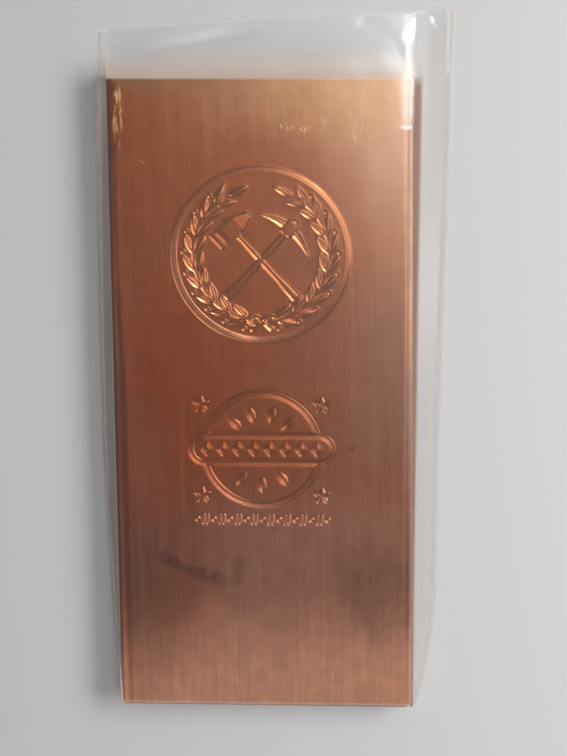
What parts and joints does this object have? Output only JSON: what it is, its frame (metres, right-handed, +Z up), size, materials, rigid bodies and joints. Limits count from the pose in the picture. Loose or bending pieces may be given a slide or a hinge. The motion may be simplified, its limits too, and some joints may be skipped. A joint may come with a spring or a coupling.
{
  "type": "struck copper ingot in a clear sleeve",
  "caption": "Flat copper bar with a round struck medallion and a ring-and-panel emblem, lying in a clear film sleeve.",
  "frame": {"origin": "on the floor under the centre of the bar, on the sleeve's flat underside", "axes": "+Z up out of the struck face, +Y along the bar towards the medallion and the sleeve's open end, +X across the bar"},
  "size_m": [0.0824, 0.1687, 0.0057],
  "materials": {
    "copper": "brushed copper, lightly tarnished, with struck relief",
    "film": "clear polyethylene film"
  },
  "bodies": {
    "root": {"ingot": "copper", "sleeve": "film"}
  },
  "joints": []
}
